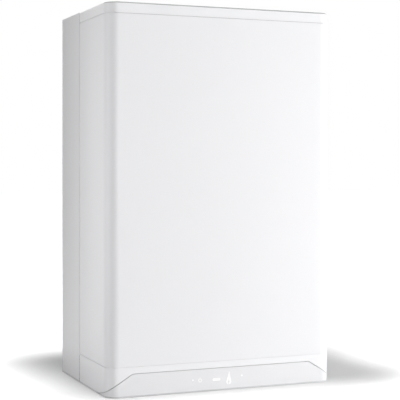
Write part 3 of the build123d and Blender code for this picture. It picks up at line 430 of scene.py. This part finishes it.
def joined(shapes):
    """Several shapes as one."""
    whole = bmesh.new()
    for shape in shapes:
        mesh = bpy.data.meshes.new("shape")
        shape.to_mesh(mesh)
        whole.from_mesh(mesh)
        shape.free()
        bpy.data.meshes.remove(mesh)
    return whole


def moved(shape, at=(0, 0, 0), facing=up, turn=0.0):
    """The shape with its Z axis along a direction, turned round it in degrees, at a place."""
    aim = Vector(facing).to_track_quat("Z", "Y").to_matrix().to_4x4()
    shape.transform(Matrix.Translation(at) @ aim @ Matrix.Rotation(math.radians(turn), 4, "Z"))
    return shape


def polar(radius, angle):
    """Steps towards 0 and towards 90 degrees, for an angle in degrees."""
    return radius * math.cos(math.radians(angle)), radius * math.sin(math.radians(angle))


def fitted(name, shape, slot, body="chassis"):
    """Makes a piece of a shape, with its finish, riding on its body."""
    shape.transform(Matrix.Scale(mm, 4))
    bmesh.ops.recalc_face_normals(shape, faces=shape.faces[:])
    mesh = bpy.data.meshes.new(name)
    shape.to_mesh(mesh)
    shape.free()
    mesh.shade_smooth()
    mesh.set_sharp_from_angle(angle=smooth_angle)
    mesh.materials.append(materials[slot])
    piece = bpy.data.objects.new(name, mesh)
    bpy.context.scene.collection.objects.link(piece)
    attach(piece, body)


# ---------------------------------------------------------------------------
# Screws, rings, clamps and plugs
# ---------------------------------------------------------------------------
def screw_head(radius, height, recess, depth):
    """Screw head with a driver recess of an outline."""
    rim = [(0, 0), (radius, 0), (radius, height * 0.45), (radius * 0.93, height * 0.75)]
    pit = [(radius * 0.75, height), (recess, height), (recess, height - depth), (0, height - depth)]
    return turned(rim + pit)


def pan_screw(radius=4.0):
    """Low screw with a cross recess."""
    return screw_head(radius, radius * 0.6, cross(radius * 0.55, radius * 0.18), radius * 0.35)


def socket_screw(radius=3.5):
    """High screw with a hexagon socket."""
    return screw_head(radius, radius, hexagon(radius * 1.05), radius * 0.6)


def washer_screw(across=10.0, washer=8.5):
    """Hexagon screw on a washer."""
    head = hexagon(across)
    disc = [(0, 0), (washer, 0), (washer, 1.2), (washer - 1.9, 1.4)]
    return turned(disc + [(head, 1.4), (head, 4.8), (4.4, 5.6), (0, 5.6)])


def ring(inner, outer, length, chamfer):
    """Ring about its middle, with chamfered outer corners. The outer radius may be an outline."""
    def eased(angle):
        return (outer(angle) if callable(outer) else outer) - chamfer
    half = length / 2
    upper = [(outer, half - chamfer), (eased, half), (inner, half)]
    return turned([(inner, -half), (eased, -half), (outer, chamfer - half)] + upper, closed=True)


def clamp(radius):
    """Hose clamp: a steel band with its worm housing and screw."""
    band = ring(radius - 0.2, radius + 0.7, length=7.0, chamfer=0.2)
    housing = boxed((-3.5, radius, -4.0), (5.5, radius + 4.5, 4.0), bevel=0.8)
    head = moved(socket_screw(2.6), (5.0, radius + 2.4, 0), right)
    return joined([band, housing, head])


def plug(corner, width, height, depth, rib_low, rib_high):
    """Plug on a face to the front: a collar, a body and six grip ribs, from its low left corner."""
    corner = Vector(corner)
    collar_depth = 3
    inset = 2
    rib_pitch = 3.4
    collar = boxed(corner - Vector((0, collar_depth, 0)), corner + Vector((width, 0, height)), bevel=0.8)
    body_low = corner + Vector((inset, -collar_depth - depth, inset))
    body_high = corner + Vector((width - inset, -collar_depth, height - inset))
    shapes = [collar, boxed(body_low, body_high, bevel=1.2)]
    for rib in range(6):
        at = corner + Vector((rib * rib_pitch, 0, 0))
        shapes.append(boxed(at + Vector(rib_low), at + Vector(rib_high), bevel=0.3))
    return shapes


# ---------------------------------------------------------------------------
# Small parts of the casing and the control box
# ---------------------------------------------------------------------------
sheet = 1.5
seam_width = 2.0
bead_stem = 0.9
bead_inset = 2.6
bead_end = 0.6
nose_steps = 8


def seam_bead(foot, head, width):
    """Rubber bead from foot to head: a stem with a rounded nose to the front, drawn in at both ends."""
    radius = width / 2
    outline = []
    for step in range(nose_steps + 1):
        angle = math.pi * step / nose_steps
        outline.append((radius * math.cos(angle), -bead_stem - radius * math.sin(angle) / 2))
    outline += [(-radius, 0), (radius, 0)]
    levels = ((foot, 0.6), (foot + bead_end, 1.0), (head - bead_end, 1.0), (head, 0.6))
    rings = [[(x * size, y * size, z) for x, y in outline] for z, size in levels]
    return skinned([[(0, 0, foot)]] + rings + [[(0, 0, head)]])


def seam_buffers():
    """Rubber beads in the ends of the seam between the cover and the chassis."""
    low, high = edges("front_panel")
    top = edges("top_band")[1].z
    spans = ((1.0, low.z - 1.9, 2.45), (high.z + 1.4, top - 1.5, 2.15))
    beads = []
    for side in (-1, 1):
        for foot, head, width in spans:
            at = (side * (high.x - bead_inset + width / 2), high.y + seam_width, 0)
            beads.append(moved(seam_bead(foot, head, width), at))
    fitted("seam_buffers", joined(beads), "black_rubber")


def panel_screws():
    """Screws of the mounting panel, where the heat exchanger leaves room for them."""
    low, high = edges("mounting_panel")
    drum = middle_of("heat_exchanger_shell")
    drum_reach = 115
    heads = []
    for x in (low.x + 29, high.x - 29):
        for row in range(3):
            z = low.z + 15 + 100 * row
            if math.dist((x, z), (drum.x, drum.z)) > drum_reach:
                heads.append(moved(washer_screw(), (x, low.y, z), front))
    fitted("panel_screws", joined(heads), "screw_steel")


def roof_screws():
    """Screws of the casing's roof."""
    low, high = edges("top_plate")
    inset = 11
    heads = []
    for x in (low.x + inset, high.x - inset):
        for y in (low.y + 2 * inset, high.y - inset):
            heads.append(moved(pan_screw(), (x, y, low.z + sheet), turn=20))
    fitted("roof_screws", joined(heads), "screw_steel")


def flue_test_caps():
    """Knurled caps over the two sampling points beside the flue."""
    low, high = edges("flue_seal")
    y = middle_of("flue_collar").y
    inset = 9
    grip = knurled(6.2, 0.35, 16)
    rise = [(0, 0), (5.4, 0), (5.4, 1.0), (grip, 1.4), (grip, 5.6)]
    dished = [(5.2, 6.4), (3.2, 6.4), (2.8, 5.8), (0, 5.8)]
    caps = []
    for x in (low.x + inset, high.x - inset):
        caps.append(moved(turned(rise + dished, 96), (x, y, high.z + 2)))
    fitted("flue_test_caps", joined(caps), "black_plastic")


def lid_screws():
    """Screws of the control box's lid."""
    low, high = edges("control_box_lid")
    inset = 10
    heads = []
    for x in (low.x + inset, high.x - inset):
        for y in (low.y + 32, high.y - inset):
            heads.append(moved(pan_screw(), (x, y, high.z), up, y))
    fitted("lid_screws", joined(heads), "screw_steel", "control_box")


def lid_grommets():
    """Rubber grommets in the back of the control box."""
    y = edges("control_box_lid")[1].y
    z = middle_of("control_box_lid").z
    profile = [(0, 0.8), (5.2, 1.0), (6.4, 2.2), (8.0, 2.0), (8.8, 0.8), (8.6, 0), (0, 0)]
    grommets = [moved(turned(profile), (x, y, z), rear) for x in (-70, 70)]
    fitted("lid_grommets", joined(grommets), "black_rubber", "control_box")


# ---------------------------------------------------------------------------
# Small parts of the water side
# ---------------------------------------------------------------------------
pipe_radius = 9.0
hose_radius = 6.0
clamp_play = 0.1
large_stub = 12.0


def pipe_nuts():
    """Hexagon nuts at the ends of the water pipes, and round the gas union."""
    flow_low, flow_high = edges("flow_pipe")
    back_low, back_high = edges("return_pipe")
    flow_x = middle_of("flow_pipe").x
    tower = edges("flow_block")[1].z
    valve = edges("gas_valve_body")[0].z
    places = (((flow_x, flow_low.y + pipe_radius, flow_high.z - 1), up, 10),
              ((back_low.x + pipe_radius, back_low.y + pipe_radius, back_high.z - 1), up, 35),
              ((flow_x, flow_high.y - pipe_radius, tower + 7), up, 0),
              ((back_high.x - 3, back_high.y - pipe_radius, back_low.z + pipe_radius), left, 15))
    nuts = []
    for at, facing, turn in places:
        nut = ring(pipe_radius - 0.3, hexagon(27), length=15, chamfer=1.0)
        nuts.append(moved(nut, at, facing, turn))
    union = ring(13.8, hexagon(31), length=8, chamfer=0.8)
    at = (middle_of("gas_valve_body").x, middle_of("venturi").y, valve - 4.5)
    fitted("pipe_nuts", joined(nuts + [moved(union, at, up, 12)]), "brass")


def stub_nuts():
    """Locknuts under the floor on the five connections, which the part's mounts give."""
    floor = edges("bottom_plate")[1].z - sheet
    nuts = []
    for mount in frame["record"]["mounts"]:
        if mount["name"].endswith("_stub"):
            x, y = (place / mm for place in mount["pos_m"][:2])
            bore, across = (11.8, 34) if mount["dims"]["r_mm"] > large_stub else (9.1, 28)
            nut = ring(bore, hexagon(across), length=4.5, chamfer=0.7)
            nuts.append(moved(nut, (x, y, floor - 2.4), up, 7 + x / 9))
    fitted("stub_nuts", joined(nuts), "brass")


def hose_clamps():
    """Clamps at both ends of the condensate hose and of the vessel's hose."""
    drain_low, drain_high = edges("condensate_hose")
    hose_low, hose_high = edges("vessel_hose")
    spigot_y = edges("mounting_panel")[0].y - 0.5
    from_end = 5
    drain_clamp = pipe_radius + clamp_play
    hose_clamp = hose_radius + clamp_play
    upper = (drain_high.x - pipe_radius, drain_low.y + pipe_radius, drain_high.z - from_end)
    lower = (drain_low.x + pipe_radius, drain_high.y - pipe_radius, drain_low.z + from_end)
    vessel = (hose_low.x + hose_radius, hose_high.y - hose_radius, hose_high.z - from_end)
    spigot = (hose_high.x - hose_radius, spigot_y, hose_low.z + hose_radius)
    clamps = [moved(clamp(drain_clamp), upper, up, 60), moved(clamp(drain_clamp), lower, up, -60),
              moved(clamp(hose_clamp), vessel, up, 200), moved(clamp(hose_clamp), spigot, rear, 90)]
    fitted("hose_clamps", joined(clamps), "screw_steel")


def pump_face():
    """Raised disc, bleed screw and housing screws on the front of the pump."""
    axis = middle_of("pump_impeller")
    face = edges("pump_motor")[0].y
    centre = (axis.x, face, axis.z)
    screw_circle = 35.4
    disc = [(0, -0.5), (31, -0.5), (31, 0.6), (30.2, 1.2), (12.5, 1.2), (11.8, 0.4), (0, 0.4)]
    fitted("pump_disc", moved(turned(disc), centre, front), "pump_paint")
    bleed = screw_head(9.0, 4.5, groove(7.0, 0.9), depth=1.6)
    fitted("pump_bleed_screw", moved(bleed, centre, front, 30), "brass")
    heads = []
    for angle in (45, 135, 225, 315):
        across, rise = polar(screw_circle, angle)
        heads.append(moved(socket_screw(3.2), (axis.x + across, face, axis.z + rise), front, angle))
    fitted("pump_screws", joined(heads), "screw_steel")


def pump_plug():
    """Plug on the pump's terminal box."""
    low, high = edges("pump_motor")
    shapes = plug((low.x + 25, low.y + 5, high.z - 22), width=26, height=19, depth=9,
                  rib_low=(3, -12.7, 4), rib_high=(4.6, -9, 15))
    fitted("pump_plug", joined(shapes), "black_plastic")


def block_plugs():
    """Hexagon plugs in the fronts of the two water blocks."""
    flow_low, flow_high = edges("flow_block")
    back_low = edges("return_block")[0]
    z = middle_of("relief_valve_knob").z
    inset = 27
    head = hexagon(14)
    profile = [(0, -1), (9, -1), (9, 1.0), (8.4, 1.6), (head, 1.6), (head, 6.4), (5.6, 7.4), (0, 7.4)]
    plugs = []
    for x in (flow_high.x - inset, back_low.x + inset):
        plugs.append(moved(turned(profile), (x, flow_low.y, z), front, x))
    fitted("block_plugs", joined(plugs), "brass")


def diverter_cap():
    """Round cap with a cross rib on the front of the diverter's motor, and its plug on top."""
    low, high = edges("diverter_motor")
    centre = middle_of("diverter_motor")
    rim = [(0, -1), (15, -1), (15, 1.4), (14, 2.4), (11, 2.4), (10.4, 1.0)]
    rib = [(cross(8.6, 2.2), 1.0), (cross(8, 2), 2.4), (0, 2.4)]
    cap = moved(turned(rim + rib), (centre.x, low.y, centre.z), front, 45)
    top = boxed((centre.x - 9, low.y + 6, high.z - 1), (centre.x + 9, low.y + 22, high.z + 9), bevel=1.0)
    fitted("diverter_cap", joined([cap, top]), "black_plastic")


def trap_grip():
    """Ribbed cap at the foot of the condensate trap."""
    trap = middle_of("condensate_trap")
    foot = edges("condensate_trap")[0].z + 41
    grip = knurled(19.6, 0.7, 24)
    profile = [(17.5, 0), (18.6, 0), (grip, 1), (grip, 16), (18.4, 17), (17.5, 17)]
    fitted("trap_grip", moved(turned(profile, 144, closed=True), (trap.x, trap.y, foot)), "flue_plastic")


# ---------------------------------------------------------------------------
# Small parts of the gas, air and flue side
# ---------------------------------------------------------------------------
duct_radius = 30.0
venturi_radius = 24.0
valve_coils = 30.0
lead_radius = 3.0


def drum_beads():
    """Rolled beads round the heat exchanger."""
    low, high = edges("heat_exchanger_shell")
    axis = middle_of("burner_door")
    bead = [(99.7, -3), (100.6, -2), (101.2, 0), (100.6, 2), (99.7, 3)]
    beads = []
    for y in (low.y + 9, high.y - 27):
        beads.append(moved(turned(bead, 96, closed=True), (axis.x, y, axis.z), rear))
    fitted("drum_beads", joined(beads), "stainless")


def oblong(ends, radius, y, steps=16):
    """Points round two centres, in a plane parallel to the front."""
    span = ends[1] - ends[0]
    turn = math.atan2(span.z, span.x)
    points = []
    for centre, start in zip(ends, (turn + math.pi / 2, turn - math.pi / 2)):
        for step in range(steps + 1):
            angle = start + math.pi * step / steps
            points.append((centre.x + radius * math.cos(angle), y, centre.z + radius * math.sin(angle)))
    return points


def duct_seam():
    """Flange where the two halves of the premix duct meet. The duct's ends are the burner and the fan."""
    middle = middle_of("premix_duct")
    burner = middle_of("heat_exchanger_shell")
    ends = (burner, 2 * middle - burner)
    profile = [(-0.5, -1.5), (3.0, -1.5), (3.4, -1.1), (3.4, 1.1), (3.0, 1.5), (-0.5, 1.5)]
    rings = [oblong(ends, duct_radius + reach, middle.y + step) for reach, step in profile]
    fitted("duct_seam", skinned(rings, closed=True), "cast_aluminium")


def fan_flange():
    """Flange and lugs that hold the halves of the fan housing."""
    x = middle_of("fan_housing").x
    axis = middle_of("venturi")
    lug_circle = 66
    shapes = [moved(ring(61.5, 64.8, length=4.0, chamfer=0.6), (x, axis.y, axis.z), right)]
    for angle in range(0, 300, 60):
        rise, across = polar(lug_circle, angle)
        y = axis.y + across
        z = axis.z + rise
        shapes.append(moved(ring(1.5, 5.0, length=7.0, chamfer=0.5), (x, y, z), right))
        shapes.append(moved(socket_screw(3.0), (x - 3.2, y, z), left, angle))
    fitted("fan_flange", joined(shapes), "cast_aluminium")


def valve_screws():
    """Screws that hold the coils on the front of the gas valve."""
    low, high = edges("gas_valve_body")
    inset = 7
    heads = []
    for x in (low.x + inset, high.x - inset):
        for z in (low.z + 6, low.z + 59):
            heads.append(moved(socket_screw(), (x, low.y + valve_coils, z), front, x))
    fitted("valve_screws", joined(heads), "screw_steel")


def valve_plug():
    """Plug of the gas valve's coils, with its latch."""
    low, high = edges("gas_valve_body")
    corner = Vector((high.x - 35, low.y + valve_coils, low.z + 21))
    collar, body, *ribs = plug(corner, width=26, height=26, depth=11,
                               rib_low=(2.8, -14.6, 4), rib_high=(4.4, -10, 19))
    latch = boxed(corner + Vector((9, -16, 21)), corner + Vector((17, -5, 27)), bevel=0.8)
    fitted("valve_plug", joined([collar, body, latch] + ribs), "black_plastic")


def lead_boots():
    """Rubber boots on both ends of the ignition lead."""
    electrode = middle_of("ignition_electrode")
    tip = edges("ignition_electrode")[0].y + 12
    lead = edges("ignition_lead")[1]
    collar = [(0, 0), (6.6, 0), (7.0, 1), (7.0, 3), (6.4, 4)]
    boot = collar + [(6.4, 8), (6.8, 9), (6.2, 11), (5.0, 15), (3.6, 18), (0, 18)]
    small_boot = [(radius * 0.86, height * 0.75) for radius, height in boot]
    shapes = [moved(turned(boot), (electrode.x, tip, electrode.z), front),
              moved(turned(small_boot), (lead.x, lead.y - lead_radius, lead.z - lead_radius), left)]
    fitted("lead_boots", joined(shapes), "black_rubber")


def sight_glass():
    """Window in the burner door."""
    centre = middle_of("burner_door")
    face = edges("burner_door")[0].y
    window_circle = 64
    window_angle = 206
    across, rise = polar(window_circle, window_angle)
    at = (centre.x + across, face + 4, centre.z + rise)
    fitted("sight_glass_ring", moved(ring(5.5, 9.0, length=7.0, chamfer=0.9), at, front), "brass")
    glass = [(0, 0), (6, 0), (6, 2.2), (4, 2.7), (0, 2.8)]
    fitted("sight_glass", moved(turned(glass), at, front), "black_plastic")


def intake_ribs():
    """Ribs across the front and the near side of the air intake."""
    low, high = edges("air_intake_duct")
    proud = 1
    side_run = 78
    bars = []
    for step in range(9):
        z = low.z + 15 + 20 * step
        corner = (low.x - proud, low.y - proud, z)
        bars.append(boxed(corner, (high.x, low.y + proud, z + 2), bevel=0.4))
        bars.append(boxed(corner, (low.x + proud, low.y + side_run, z + 2), bevel=0.4))
    fitted("intake_ribs", joined(bars), "flue_plastic")


def venturi_clamps():
    """Clamps at both ends of the venturi."""
    low, high = edges("venturi")
    centre = middle_of("venturi")
    inset = 6
    clamps = []
    for x in (low.x + inset, high.x - inset):
        clamps.append(moved(clamp(venturi_radius), (x, centre.y, centre.z), right, 90))
    fitted("venturi_clamps", joined(clamps), "screw_steel")


def flue_socket():
    """Socket with its seal bead where the flue duct leaves the heat exchanger."""
    shell = middle_of("heat_exchanger_shell")
    spout = (shell.x, shell.y - 0.5, edges("heat_exchanger_shell")[1].z)
    bead = [(29.6, 0.2), (33.0, 0.2), (34.0, 1.0), (34.0, 5.0), (33.0, 6.0)]
    tube = [(32.2, 6.5), (32.0, 13.0), (31.2, 13.6), (29.6, 13.6)]
    fitted("flue_socket", moved(turned(bead + tube, 72, closed=True), spout), "flue_plastic")


details = (
    seam_buffers, panel_screws, roof_screws, flue_test_caps, pipe_nuts, stub_nuts, hose_clamps, drum_beads,
    duct_seam, fan_flange, valve_screws, valve_plug, pump_face, pump_plug, block_plugs, diverter_cap,
    lid_screws, lid_grommets, lead_boots, trap_grip, sight_glass, intake_ribs, venturi_clamps, flue_socket,
)
for detail in details:
    detail()


# ---------------------------------------------------------------------------
# Studio: white floor and backdrop that keep the object's shadow, in metres
# ---------------------------------------------------------------------------
floor_reach = 12.0
foot_half = (cad_box[1][0], cad_box[1][1], 0)
shadow_middle = (0.05, 0.08, 0)
shadow_near = 0.03
shadow_far = 0.23
ambient = 0.126
origin = (0, 0, 0)
middle = (0, 0, 0.3)
cover_side = (-0.2, -0.105, 0.405)


def floor_finish():
    """Grey that takes the shadow near the casing's foot, and rises to a white glow away from it."""
    finish = Finish("floor")
    finish.set(Base_Color=(0.8, 0.8, 0.8, 1), Roughness=0.9, Specular_IOR_Level=0.0)
    steps = (("SUBTRACT", shadow_middle), ("ABSOLUTE", origin),
             ("SUBTRACT", foot_half), ("MAXIMUM", origin))
    beyond = finish.place
    for operation, value in steps:
        step = finish.add("ShaderNodeVectorMath", {0: beyond, 1: value}, operation=operation)
        beyond = step.outputs["Vector"]
    away = finish.add("ShaderNodeVectorMath", {0: beyond}, operation="LENGTH").outputs["Value"]
    inputs = {"Value": away, "From Min": shadow_near, "From Max": shadow_far}
    rise = finish.add("ShaderNodeMapRange", inputs, interpolation_type="SMOOTHSTEP").outputs["Result"]
    lift = finish.maths("MULTIPLY", rise, finish.seen_rays())
    glow = finish.add("ShaderNodeEmission", {"Strength": lift}).outputs["Emission"]
    total = finish.add("ShaderNodeAddShader", {0: finish.shader.outputs["BSDF"], 1: glow})
    finish.give(finish.tree.nodes["Material Output"].inputs["Surface"], total.outputs["Shader"])
    return finish.material


def studio_floor():
    """One wide sheet under the casing's foot."""
    mesh = bpy.data.meshes.new("floor")
    turns = ((-1, -1), (1, -1), (1, 1), (-1, 1))
    mesh.from_pydata([(x * floor_reach, y * floor_reach, 0) for x, y in turns], [], [(0, 1, 2, 3)])
    mesh.materials.append(floor_finish())
    floor = bpy.data.objects.new("floor", mesh)
    bpy.context.scene.collection.objects.link(floor)


def studio_world():
    """White to the camera and in reflections, and a plain ambient light otherwise."""
    world = bpy.data.worlds.new("studio")
    world.use_nodes = True
    nodes = Nodes(world.node_tree)
    level = nodes.add("ShaderNodeMapRange", {"Value": nodes.seen_rays(), "To Min": ambient})
    backdrop = nodes.tree.nodes["Background"]
    nodes.give(backdrop.inputs["Color"], (1, 1, 1, 1))
    nodes.give(backdrop.inputs["Strength"], level.outputs["Result"])
    bpy.context.scene.world = world


def softbox(name, place, target, size, power, mirrored=True):
    """Area light aimed at a point. One that isn't mirrored lights only the matt part of a finish."""
    data = bpy.data.lights.new(name, "AREA")
    data.shape = "RECTANGLE"
    data.size, data.size_y = size
    data.energy = power
    lamp = bpy.data.objects.new(name, data)
    lamp.location = place
    aim = Vector(target) - Vector(place)
    lamp.rotation_euler = aim.to_track_quat("-Z", "Y").to_euler()
    lamp.visible_glossy = mirrored
    bpy.context.scene.collection.objects.link(lamp)


studio_floor()
studio_world()
# Each lamp has its place, the point it is aimed at, its width and height, and its power in watts.
softbox("right_light", (1.8, -1.15, 0.3), middle, (0.6, 0.6), 22.2, mirrored=False)
softbox("right_near_light", (0.9, -0.65, 0.1), (0.1, -0.13, 0.02), (0.3, 0.2), 1.2, mirrored=False)
softbox("right_low_light", (1.6, -1.3, 0.12), (0.1, -0.13, 0.1), (0.5, 0.2), 4.4, mirrored=False)
softbox("top_front_light", (-0.2, -1.0, 2.3), middle, (0.8, 0.8), 14.5)
softbox("top_back_light", (-0.35, 0.9, 2.0), middle, (1.0, 1.0), 12.5)
softbox("left_near_light", (-0.42, -0.105, 0.405), cover_side, (0.1, 0.66), 0.41, mirrored=False)
softbox("front_light", (0.1, -2.4, 0.4), (0, 0, 0.2), (0.6, 0.4), 7.0)
